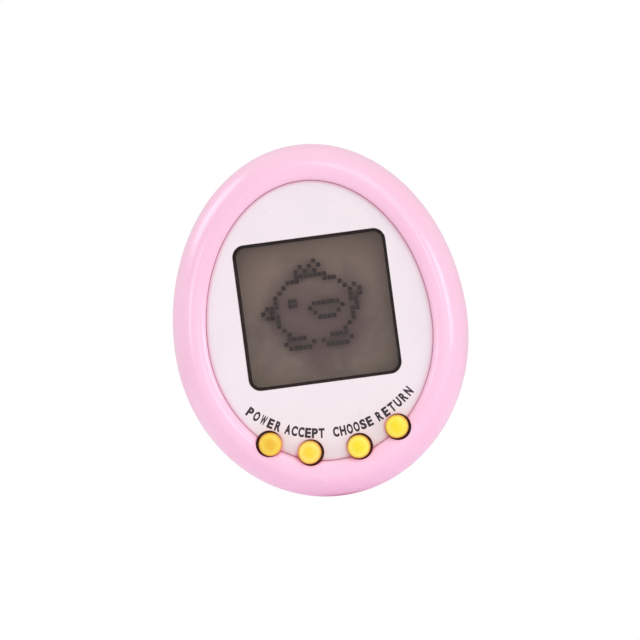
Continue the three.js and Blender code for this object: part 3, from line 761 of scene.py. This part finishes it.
def back_body():
    """The outside of the back, from the seam to the flat."""
    profile = [(0, SEAM_Y), (HALF_WIDTH - SEAM_ROUND, SEAM_Y)]
    profile += arc((HALF_WIDTH - SEAM_ROUND, SEAM_Y + SEAM_ROUND), (SEAM_ROUND, SEAM_ROUND), -90, 0, 4)[1:]
    profile += arc((BACK_FLAT_RADIUS, SEAM_Y), (HALF_WIDTH - BACK_FLAT_RADIUS, -SEAM_Y), 3, 90, 34)
    profile += [(0, 0)]
    return turned(profile, on_egg, EGG_SEGMENTS)


def back_cavity():
    """The hollow inside the back, which starts well in front of the seam."""
    rim = HALF_WIDTH - WALL - 1
    flat = BACK_FLAT_RADIUS - 0.4
    profile = [(0, SEAM_Y - 3), (rim, SEAM_Y - 3)]
    profile += arc((flat, SEAM_Y), (rim - flat, -SEAM_Y - WALL), 0, 90, 14)
    profile += [(0, -WALL)]
    return turned(profile, on_egg, EGG_SEGMENTS // 2)


def door_outline(grow):
    return node_outline("battery_door", DOOR_CORNER + grow, grow, steps=14)


def notch_block(grow):
    height = NOTCH_HIGH - NOTCH_LOW + 2 * grow
    middle_z = (NOTCH_HIGH + NOTCH_LOW) / 2
    outline = rounded_rect(NOTCH_WIDTH + 2 * grow, height, NOTCH_CORNER + grow, middle_z)
    return slab(outline, NOTCH_FLOOR_Y - grow, PAST_BACK)


def hollow_inside():
    """The cavity in millimetres, less the walls of the tray and the notch, the columns and the ring."""
    cavity = as_object("back_cavity", back_cavity())
    tray = slab(door_outline(0.9), TRAY_FLOOR - TRAY_WALL, PAST_BACK)
    cut(cavity, tray, notch_block(1.1))
    for screw_node in CASE_SCREWS:
        cut(cavity, rod_at(screw_node, SCREW_COLUMN_RADIUS, SEAM_Y, PAST_BACK))
    ring = ring_slab(circle(SOUNDER_RING_OUTER, SOUNDER.x, SOUNDER.z),
                     circle(SOUNDER_RING_INNER, SOUNDER.x, SOUNDER.z), SOUNDER_RING_Y, 0)
    cut(cavity, ring)
    hollow = bmesh.new()
    hollow.from_mesh(cavity.data)
    hollow.transform(Matrix.Scale(1 / MM, 4))
    bpy.data.objects.remove(cavity)
    return hollow


def rear_shell():
    """The pink back: battery tray, screw bosses, sounder holes and the notch for the strap."""
    shell = as_object("rear_shell", back_body())
    lip = ring_slab(egg_outline(WALL + 0.15), egg_outline(WALL + 1), SEAM_Y - 1.1, SEAM_Y + 0.5)
    cut(shell, hollow_inside())
    join(shell, lip)

    cut(shell, slab(door_outline(DOOR_GAP), door_low.y - 0.1, PAST_BACK))
    for cell in CELLS:
        cut(shell, rod_at(cell, CELL_RADIUS + CELL_GAP, TRAY_FLOOR, PAST_BACK, segments=64))
        at = middle(cell)
        contact_slot = block(CONTACT_SLOT_WIDTH, SEAM_Y - 1, TRAY_FLOOR + 1, CONTACT_SLOT_HEIGHT,
                             at.x, at.z - CONTACT_SLOT_DROP)
        cut(shell, contact_slot)
    for screw_node in CASE_SCREWS:
        head_seat = box(screw_node)[1].y - HEAD_RECESS_DEPTH
        cut(shell, rod_at(screw_node, HEAD_RECESS_RADIUS, head_seat, PAST_BACK),
            rod_at(screw_node, SCREW_CLEARANCE_RADIUS, SEAM_Y - 2, PAST_BACK))
    pilot_end = box(DOOR_SCREW)[0].y - 0.4
    cut(shell, rod_at(DOOR_SCREW, DOOR_PILOT_RADIUS, pilot_end, PAST_BACK))
    cut(shell, notch_block(0))
    bar_seat = bar_along_x(STRAP_RADIUS + 0.1, strap_high.x - strap_low.x + 0.2, STRAP_Y, STRAP_Z)
    cut(shell, bar_seat)
    for column, row in ((0, 0), (1, 0), (-1, 0), (0, 1), (0, -1)):
        x = SOUNDER.x + column * SOUND_HOLE_PITCH
        z = SOUNDER.z + row * SOUND_HOLE_PITCH
        cut(shell, rod(SOUND_HOLE_RADIUS, CUT_START_Y, PAST_BACK, x, z, segments=24))
    soften(shell, width=0.1)
    finish_piece(shell, PINK, "pink_plastic", "case", "rear_cover")


def door_panel():
    """The battery door, curved with the back, with three finger grooves near its lower edge."""
    panel = as_object("door_panel", slab(door_outline(0), door_low.y, PAST_BACK))
    carve(panel, "INTERSECT", back_body())
    for cell in CELLS:
        cut(panel, rod_at(cell, CELL_RADIUS + CELL_GAP, SEAM_Y, DOOR_INSIDE_Y, segments=64))
    bridge_recess = node_outline("battery_bridge", 1.2, 0.2)
    cut(panel, slab(bridge_recess, SEAM_Y, DOOR_INSIDE_Y))
    cut(panel, rod_at(DOOR_SCREW, DOOR_HOLE_RADIUS, CUT_START_Y, PAST_BACK),
        rod_at(DOOR_SCREW, DOOR_HEAD_RADIUS, DOOR_HEAD_SEAT_Y, PAST_BACK))
    for step in range(GROOVE_COUNT):
        groove = rounded_rect(GROOVE_LENGTH - GROOVE_TAPER * step, GROOVE_WIDTH, GROOVE_CORNER,
                              GROOVE_Z + GROOVE_PITCH * step, steps=6)
        cut(panel, slab(groove, GROOVE_FLOOR_Y, PAST_BACK))
    soften(panel, width=0.1)
    finish_piece(panel, PINK, "pink_plastic", "battery_door", "battery_door")


# ---- Screen ----


def screen_pane():
    """The clear pane behind the window."""
    pane = as_object("screen_pane", slab(node_outline("screen_lens", LENS_CORNER), lens_low.y, lens_high.y))
    soften(pane, width=0.15)
    finish_piece(pane, PANE, "clear_plastic", "case", "screen_lens")


def gasket_frame():
    """The dark foam frame, which shows as a border inside the window."""
    size = gasket_high - gasket_low
    outer = rounded_rect(size.x, size.z, GASKET_CORNER, WINDOW_Z, steps=14)
    inner = rounded_rect(WINDOW_WIDTH - 2 * SCREEN_BORDER, WINDOW_HEIGHT - 2 * SCREEN_BORDER,
                         WINDOW_CORNER - SCREEN_BORDER, WINDOW_Z, steps=14)
    gasket = as_object("gasket_frame", ring_slab(outer, inner, gasket_low.y, gasket_high.y))
    soften(gasket, width=0.08)
    finish_piece(gasket, FOAM, "black_foam", "case", "screen_gasket")


def film_sheet():
    """The reflector film behind the display, which gives it its grey."""
    low, high = box("lcd_reflector")
    film = as_object("display_film", slab(node_outline("lcd_reflector", 0.3, steps=4), low.y, high.y))
    soften(film, width=0.04)
    finish_piece(film, FILM, "reflector", "case", "lcd_reflector")


DOT_PITCH = 0.7
DOT_SIZE = DOT_PITCH - 0.06
PET_MIDDLE = (-0.4, 3.7)


def ring_of_dots(radii, start, end):
    """The dots nearest to an elliptical arc round the middle, angles in degrees."""
    dots = set()
    for step in range(start, end + 1, 3):
        angle = math.radians(step)
        dots.add((round(radii[0] * math.cos(angle)), round(radii[1] * math.sin(angle))))
    return dots


def row_of_dots(first, last, row):
    return {(column, row) for column in range(first, last + 1)}


def feather(root, length):
    """A line of dots that rises to the right from the top of the head."""
    return {(root + step, 8 + step) for step in range(length)}


def pet_dots():
    """A plain round chick facing left, with three feathers, a beak, a wing, a tail and two feet."""
    body = ring_of_dots((8.6, 7.0), -50, 230)
    feathers = feather(-3, 2) | feather(-1, 3) | feather(1, 2)
    beak = row_of_dots(-10, -9, 1) | row_of_dots(-10, -9, -1) | {(-11, 0)}
    eye = {(-5, 1), (-4, 1), (-5, 2), (-4, 2)}
    wing = row_of_dots(0, 5, 1) | row_of_dots(1, 4, -2) | {(-1, 0), (0, -1), (6, 0), (5, -1)}
    tail = {(9, 4), (10, 3), (10, 2), (9, 1)}
    foot = row_of_dots(2, 6, -8) | row_of_dots(3, 6, -6) | {(1, -7), (7, -7)}
    other_foot = {(-column, row) for column, row in foot}
    return sorted(body | feathers | beak | eye | wing | tail | foot | other_foot)


def display_dots():
    """The dark dots of the creature, between the two glass plates."""
    front = box("lcd_front_glass")[1].y + 0.01
    back = box("lcd_rear_glass")[0].y - 0.01
    shape = Matrix.Diagonal((DOT_SIZE, back - front, DOT_SIZE, 1))
    mesh = bmesh.new()
    for column, row in pet_dots():
        x = PET_MIDDLE[0] + column * DOT_PITCH
        z = PET_MIDDLE[1] + row * DOT_PITCH
        place = Matrix.Translation((x, (front + back) / 2, z))
        bmesh.ops.create_cube(mesh, size=1, matrix=place @ shape)
    dots = as_object("display_dots", mesh)
    finish_piece(dots, DOTS, "reflector", "case")


# ---- Keys and their printed names ----

# Each cap's colour in the middle, and round its edge.
KEY_COLORS = {
    "power": (srgb(240, 190, 34), srgb(246, 212, 66)),
    "accept": (srgb(250, 218, 52), srgb(252, 226, 98)),
    "choose": (srgb(250, 228, 30), srgb(252, 234, 84)),
    "return": (srgb(250, 226, 26), srgb(252, 230, 76)),
}
KEY_CROWN = 0.22
KEY_SHOULDER_ROUND = 0.42
KEY_STEM_RADIUS = 1.2
FLANGE_TOP = FLOOR_BACK + 0.08
FLANGE_BOTTOM = FLANGE_TOP + 0.7
FLANGE_TRIM = 0.22  # the flange is this much smaller than in the CAD, which leaves room for the lean
FLANGE_CHAMFER = 0.08


def key_cap(key):
    """A domed cap with a rounded shoulder, and the flange that holds it behind the floor."""
    low, high = box(f"{key}_button")
    centre = middle(f"{key}_button")
    x = centre.x + KEY_LEAN[key][0]
    z = centre.z + KEY_LEAN[key][1]
    dome_radius = KEY_RADIUS - KEY_SHOULDER_ROUND
    flange_radius = (high.x - low.x) / 2 - FLANGE_TRIM
    chamfered = flange_radius - FLANGE_CHAMFER
    profile = [(dome_radius * k / 8, low.y + KEY_CROWN * (k / 8) ** 2) for k in range(8)]
    profile += arc((dome_radius, low.y + KEY_CROWN + KEY_SHOULDER_ROUND),
                   (KEY_SHOULDER_ROUND, KEY_SHOULDER_ROUND), -76, 0, 8)
    profile += [(KEY_RADIUS + 0.02, FLOOR_FRONT), (KEY_RADIUS + 0.02, FLANGE_TOP), (chamfered, FLANGE_TOP)]
    profile += [(flange_radius, FLANGE_TOP + FLANGE_CHAMFER), (flange_radius, FLANGE_BOTTOM - FLANGE_CHAMFER)]
    profile += [(chamfered, FLANGE_BOTTOM), (KEY_STEM_RADIUS, FLANGE_BOTTOM), (KEY_STEM_RADIUS, high.y)]
    profile += [(0, high.y)]
    cap = as_object(f"key_cap_{key}", turned(profile, about(x, z), 64))
    look = key_plastic(f"key_plastic_{key}", x, z, *KEY_COLORS[key])
    finish_piece(cap, look, "yellow_plastic", f"{key}_key", f"{key}_button")


DOME_TOP_RADIUS = 1.24
DOME_TOP_ROUND = 0.12
DOME_WALL = 0.4


def key_dome(key):
    """The silicone dome under a cap, in the shape it has before the cap presses it flat."""
    low, high = box(f"{key}_dome")
    centre = middle(f"{key}_dome")
    top = low.y
    foot = high.y
    wide = high.x - centre.x
    profile = [(0, top), (DOME_TOP_RADIUS, top)]
    profile += arc((DOME_TOP_RADIUS, top + DOME_TOP_ROUND), (DOME_TOP_ROUND, DOME_TOP_ROUND), -90, 0, 3)[1:]
    profile += [(1.46, top + 0.5), (1.62, top + 0.66), (wide - 0.1, foot - 0.5), (wide, foot - 0.4)]
    profile += [(wide, foot), (wide - 0.45, foot), (1.22, top + 0.72)]
    profile += [(1.05, top + DOME_WALL), (0, top + DOME_WALL)]
    dome = as_object(f"key_dome_{key}", turned(profile, about(centre.x, centre.z), 40))
    finish_piece(dome, SILICONE, "silicone", "case", f"{key}_dome")
    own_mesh(dome)


LABEL_RADIUS = 17.5
LABEL_MIDDLE_Z = 2.65
LETTER_HEIGHT = 1.3
LETTER_WIDTH = 0.88
CAPITAL_SHARE = 0.69  # how tall the font's capitals are, as a share of its size
LETTER_THICKENING = 0.09
INK_HALF_DEPTH = 0.012
SLIVER_AREA = 1e-6  # in square millimetres
# Each key's name, and the angles from straight down at which its first and last letters stand.
LABELS = {"power": (-42.2, -27.0), "accept": (-22.0, -5.6), "choose": (1.4, 18.4), "return": (23.8, 42.4)}


def letter_mesh(letter):
    """One blocky letter, centred on the origin, as a thin solid in the XZ plane, in millimetres."""
    curve = bpy.data.curves.new("letter", "FONT")
    curve.body = letter
    curve.size = LETTER_HEIGHT / CAPITAL_SHARE
    curve.offset = LETTER_THICKENING
    curve.extrude = INK_HALF_DEPTH
    curve.align_x = "CENTER"
    thing = add_to_scene("letter", curve)
    bpy.context.view_layer.update()
    graph = bpy.context.evaluated_depsgraph_get()
    data = bpy.data.meshes.new_from_object(thing.evaluated_get(graph))
    bpy.data.objects.remove(thing)
    across = [vertex.co.x for vertex in data.vertices]
    squeeze = Matrix.Scale(LETTER_WIDTH / (max(across) - min(across)), 4, (1, 0, 0))
    centre = Matrix.Translation((-(max(across) + min(across)) / 2, -LETTER_HEIGHT / 2, 0))
    data.transform(Matrix.Rotation(math.pi / 2, 4, "X") @ squeeze @ centre)
    return data


def drop_slivers(mesh):
    """Joins each triangle whose corners lie on one line to its neighbour, and splits the pair anew."""
    slivers = [face for face in mesh.faces if face.calc_area() < SLIVER_AREA]
    long_sides = [max(face.edges, key=lambda edge: edge.calc_length()) for face in slivers]
    merged = bmesh.ops.dissolve_edges(mesh, edges=list(dict.fromkeys(long_sides)))["region"]
    bmesh.ops.triangulate(mesh, faces=merged, quad_method="SHORT_EDGE")


def key_label(key):
    """The key's name in small capitals, one letter at a time along the arc above the keys."""
    first, last = LABELS[key]
    word = key.upper()
    mesh = bmesh.new()
    for place, letter in enumerate(word):
        angle = math.radians(first + (last - first) * place / (len(word) - 1))
        data = letter_mesh(letter)
        x = LABEL_RADIUS * math.sin(angle)
        z = LABEL_MIDDLE_Z - LABEL_RADIUS * math.cos(angle)
        data.transform(Matrix.Translation((x, plate_low.y, z)) @ Matrix.Rotation(-angle, 4, "Y"))
        mesh.from_mesh(data)
        bpy.data.meshes.remove(data)
    drop_slivers(mesh)
    label = as_object(f"label_{key}", mesh)
    weld(label, WELD_AFTER_ROUNDING)
    finish_piece(label, INK, "epoxy", "case")


# ---- Metal parts ----

THREAD_PITCH = 0.5
THREAD_ROOT_SHARE = 0.78
SHANK_SHARE = 0.5
HEAD_RISE_SHARE = 0.55
CASE_HEAD_DEPTH = 1.25
SMALL_HEAD_DEPTH = 0.9
# The cross recess, as shares of the head's radius and depth.
CROSS_WIDTH_SHARE = 0.26
CROSS_LENGTH_SHARE = 1.2
CROSS_DEPTH_SHARE = 0.6


def screw(node, body, head_depth):
    """A pan-head cross-recess screw in the place of a CAD one, with its thread as rings."""
    low, high = box(node)
    at = middle(node)
    head_radius = (high.x - low.x) / 2
    shank = head_radius * SHANK_SHARE
    root = shank * THREAD_ROOT_SHARE
    under = high.y - head_depth
    rise = head_depth * HEAD_RISE_SHARE
    profile = [(0, low.y), (shank * 0.5, low.y + 0.15)]
    y = low.y + shank * 1.2
    while y < under - THREAD_PITCH:
        # A flat at the root, a slope out to the ring's crest, and a slope back in.
        profile += [(root, y), (root, y + 0.12), (shank, y + 0.26), (root, y + 0.4)]
        y += THREAD_PITCH
    profile += [(shank, under - 0.1), (shank, under)]
    profile += [(head_radius - 0.06, under), (head_radius, under + 0.06)]
    profile += arc((head_radius * 0.5, high.y - rise), (head_radius * 0.5, rise), 0, 90, 8)
    profile += [(0, high.y)]
    made = as_object(f"{node}_fine", turned(profile, about(at.x, at.z), 48))
    width = head_radius * CROSS_WIDTH_SHARE
    length = head_radius * CROSS_LENGTH_SHARE
    floor = high.y - head_depth * CROSS_DEPTH_SHARE
    cut(made, block(length, floor, high.y + 1, width, at.x, at.z),
        block(width, floor, high.y + 1, length, at.x, at.z))
    soften(made, width=0.035, angle=60)
    finish_piece(made, STEEL, "steel", body, node)


CAN_EDGE = 0.4
CRIMP_ROUND = 0.5
CELL_CAP_HEIGHT = 1.2
CELL_CAP_INSET = 0.7
CELL_CAP_ROUND = 0.3


def button_cell(node):
    """A button cell: can, crimped gasket ring and raised cap, the right way round."""
    low, high = box(node)
    at = middle(node)
    radius = high.x - at.x
    height = high.y - low.y
    cap_start = height - CELL_CAP_HEIGHT
    cap_radius = radius - CELL_CAP_INSET
    profile = [(0, 0)] + arc((radius - CAN_EDGE, CAN_EDGE), (CAN_EDGE, CAN_EDGE), -90, 0, 6)
    profile += arc((radius - CRIMP_ROUND, cap_start - 0.1), (CRIMP_ROUND, CRIMP_ROUND), 0, 80, 6)
    profile += [(cap_radius + 0.06, cap_start + 0.2), (cap_radius, cap_start + 0.3)]
    profile += arc((cap_radius - CELL_CAP_ROUND, height - CELL_CAP_ROUND),
                   (CELL_CAP_ROUND, CELL_CAP_ROUND), 0, 90, 6)
    profile += [(cap_radius * 0.72, height), (cap_radius * 0.7, height - 0.04), (0, height - 0.04)]
    cap_at_back = node == "battery_right"
    placed = [(r, low.y + h) if cap_at_back else (r, high.y - h) for r, h in profile]
    cell = as_object(f"{node}_fine", turned(placed, about(at.x, at.z), 80))
    finish_piece(cell, NICKEL, "cell_steel", "case", node)


def strap_pin():
    length = strap_high.x - strap_low.x
    pin = as_object("strap_pin", bar_along_x(STRAP_RADIUS, length, STRAP_Y, STRAP_Z, 40, 0.15))
    finish_piece(pin, STEEL, "steel", "case", "strap_bar")


KEPT_NODES = {
    "lcd_front_glass": POLARISER, "lcd_rear_glass": POLARISER, "lcd_frame": WHITE, "zebra_strip": ZEBRA,
    "circuit_board": BOARD, "chip_blob": EPOXY, "crystal_can": STEEL, "capacitor_can": EPOXY,
    "chip_capacitor": BROWN, "chip_resistor": EPOXY, "sounder_disc": BRASS, "sounder_ceramic": CERAMIC,
    "sounder_lead_red": RED_WIRE, "sounder_lead_black": BLACK_WIRE, "battery_contact_plus": STEEL,
    "battery_contact_minus": STEEL, "battery_bridge": STEEL,
}


def keep_node(node, look):
    """A CAD node that stays as it is, with a material of its own."""
    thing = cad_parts[node]
    thing.data.materials.clear()
    thing.data.materials.append(look)


front_shell()
face_panel()
rear_shell()
door_panel()
screen_pane()
gasket_frame()
film_sheet()
display_dots()
for key in KEYS:
    key_cap(key)
    key_dome(key)
    key_label(key)
    keep_node(f"{key}_contact_pill", CARBON)
for node in CASE_SCREWS:
    screw(node, "case", CASE_HEAD_DEPTH)
for node in BOARD_SCREWS:
    screw(node, "case", SMALL_HEAD_DEPTH)
screw(DOOR_SCREW, "door_screw", SMALL_HEAD_DEPTH)
for node in CELLS:
    button_cell(node)
strap_pin()
for node, look in KEPT_NODES.items():
    keep_node(node, look)


# ---- Stage, light and camera ----

# Lengths and places on the stage are in metres.
FLOOR_DROP = 0.0004
FLOOR_RADIUS = 0.6
FLOOR_FADE = (0.03, 0.26)  # how far from the middle the floor starts and ends its fade


def pale_floor():
    """A pale floor that fades out with distance and at grazing angles, and isn't seen from below."""
    floor_z = cad_bounds[0].z - FLOOR_DROP
    mesh = bmesh.new()
    bmesh.ops.create_circle(mesh, cap_ends=True, radius=FLOOR_RADIUS, segments=96)
    data = bpy.data.meshes.new("pale_floor")
    mesh.to_mesh(data)
    mesh.free()
    floor = add_to_scene("pale_floor", data)
    floor.location = (0, (cad_bounds[0].y + cad_bounds[1].y) / 2, floor_z)

    look = Look("pale_floor")
    place = look.position()
    squares = look.maths("ADD", look.maths("POWER", place[0], 2.0), look.maths("POWER", place[1], 2.0))
    near = look.spread(look.maths("SQRT", squares), *FLOOR_FADE, 1.0, 0.0)
    steep = look.spread(look.tilt(), 0.8, 0.93, 1.0, 0.0)
    look.set(Base_Color=srgb(196, 193, 196), Roughness=0.9, Specular_IOR_Level=0.1)
    look.set(Emission_Color=(0.93, 0.88, 1.0, 1.0), Emission_Strength=0.42)
    above = look.maths("SUBTRACT", 1.0, look.nodes.new("ShaderNodeNewGeometry").outputs["Backfacing"])
    look.set(Alpha=look.maths("MULTIPLY", above, look.maths("MULTIPLY", near, steep)))
    data.materials.append(look.material)


def white_surround(below, above):
    """White to the camera, and to everything else a soft light that brightens from below to above."""
    world = bpy.data.worlds.new("white_surround")
    bpy.context.scene.world = world
    world.use_nodes = True
    nodes, links = world.node_tree.nodes, world.node_tree.links
    nodes.clear()
    seen = nodes.new("ShaderNodeBackground")
    seen.inputs["Color"].default_value = (1, 1, 1, 1)
    lit = nodes.new("ShaderNodeBackground")
    direction = nodes.new("ShaderNodeTexCoord")
    parts = nodes.new("ShaderNodeSeparateXYZ")
    level = nodes.new("ShaderNodeMapRange")
    level.interpolation_type = "SMOOTHSTEP"
    for name, number in zip(("From Min", "From Max", "To Min", "To Max"), (-0.9, 0.9, below, above)):
        level.inputs[name].default_value = number
    links.new(direction.outputs["Generated"], parts.inputs[0])
    links.new(parts.outputs[2], level.inputs["Value"])
    links.new(level.outputs[0], lit.inputs["Strength"])
    path = nodes.new("ShaderNodeLightPath")
    mix = nodes.new("ShaderNodeMixShader")
    output = nodes.new("ShaderNodeOutputWorld")
    links.new(path.outputs["Is Camera Ray"], mix.inputs[0])
    links.new(lit.outputs[0], mix.inputs[1])
    links.new(seen.outputs[0], mix.inputs[2])
    links.new(mix.outputs[0], output.inputs[0])


LIGHT_AIM = (0, -0.01, 0)
WHITE_LIGHT = (1, 1, 1)
VIOLET_LIGHT = (0.97, 0.93, 1.0)
# Each light's name, place, size, power in watts and colour.
SOFTBOXES = [
    ("key_above", (0.22, -0.45, 0.4), 0.4, 0.6, WHITE_LIGHT),
    ("fill_right", (0.55, -0.3, 0.05), 0.3, 0.75, WHITE_LIGHT),
    ("fill_left", (-0.38, -0.38, 0.1), 0.22, 0.3, (0.97, 0.95, 1.0)),
    ("front_right", (0.15, -0.5, 0.07), 0.13, 0.12, WHITE_LIGHT),
    ("back_light", (-0.4, 0.17, 0.36), 0.3, 0.6, VIOLET_LIGHT),
]


def softbox(name, place, size, power, color):
    """A square area light at place, turned to face the object."""
    data = bpy.data.lights.new(name, "AREA")
    data.shape = "SQUARE"
    data.size = size
    data.energy = power
    data.color = color
    light = add_to_scene(name, data)
    light.location = place
    light.rotation_mode = "QUATERNION"
    light.rotation_quaternion = (Vector(LIGHT_AIM) - Vector(place)).to_track_quat("-Z", "Y")


LENS_MM = 200.0
SENSOR_MM = 36.0
ROLL = math.radians(7.6)
YAW = math.radians(1.3)  # the camera stands a little to the right of the face's middle
EGG_SHARE = 0.46  # the egg's width as a share of the picture's
# Where the middle of the egg's widest line sits from the picture's middle, as shares of its width.
AIM_SHARE = (0.0014, -0.0189)


def studio_camera():
    """Almost square on to the face, and rolled so that the egg leans to the left."""
    picture_width = 2 * HALF_WIDTH * MM / EGG_SHARE
    turn = Matrix.Rotation(YAW, 3, "Z")
    right = turn @ Vector((math.cos(ROLL), 0, -math.sin(ROLL)))
    up = turn @ Vector((math.sin(ROLL), 0, math.cos(ROLL)))
    away = turn @ Vector((0, -1, 0))
    target = Vector((0, SEAM_Y * MM, 0)) - (AIM_SHARE[0] * right + AIM_SHARE[1] * up) * picture_width
    data = bpy.data.cameras.new("studio_camera")
    data.lens = LENS_MM
    data.sensor_width = SENSOR_MM
    data.clip_start = 0.01
    data.clip_end = 10
    camera = add_to_scene("studio_camera", data)
    camera.location = target + away * picture_width * LENS_MM / SENSOR_MM
    camera.rotation_mode = "QUATERNION"
    camera.rotation_quaternion = Matrix((right, up, away)).transposed().to_quaternion()
    bpy.context.scene.camera = camera


pale_floor()
white_surround(below=0.66, above=0.95)
for name, place, size, power, color in SOFTBOXES:
    softbox(name, place, size, power, color)
studio_camera()
bpy.context.scene.view_settings.view_transform = "Standard"
bpy.context.scene.cycles.transparent_max_bounces = 32  # the display lies behind six clear surfaces
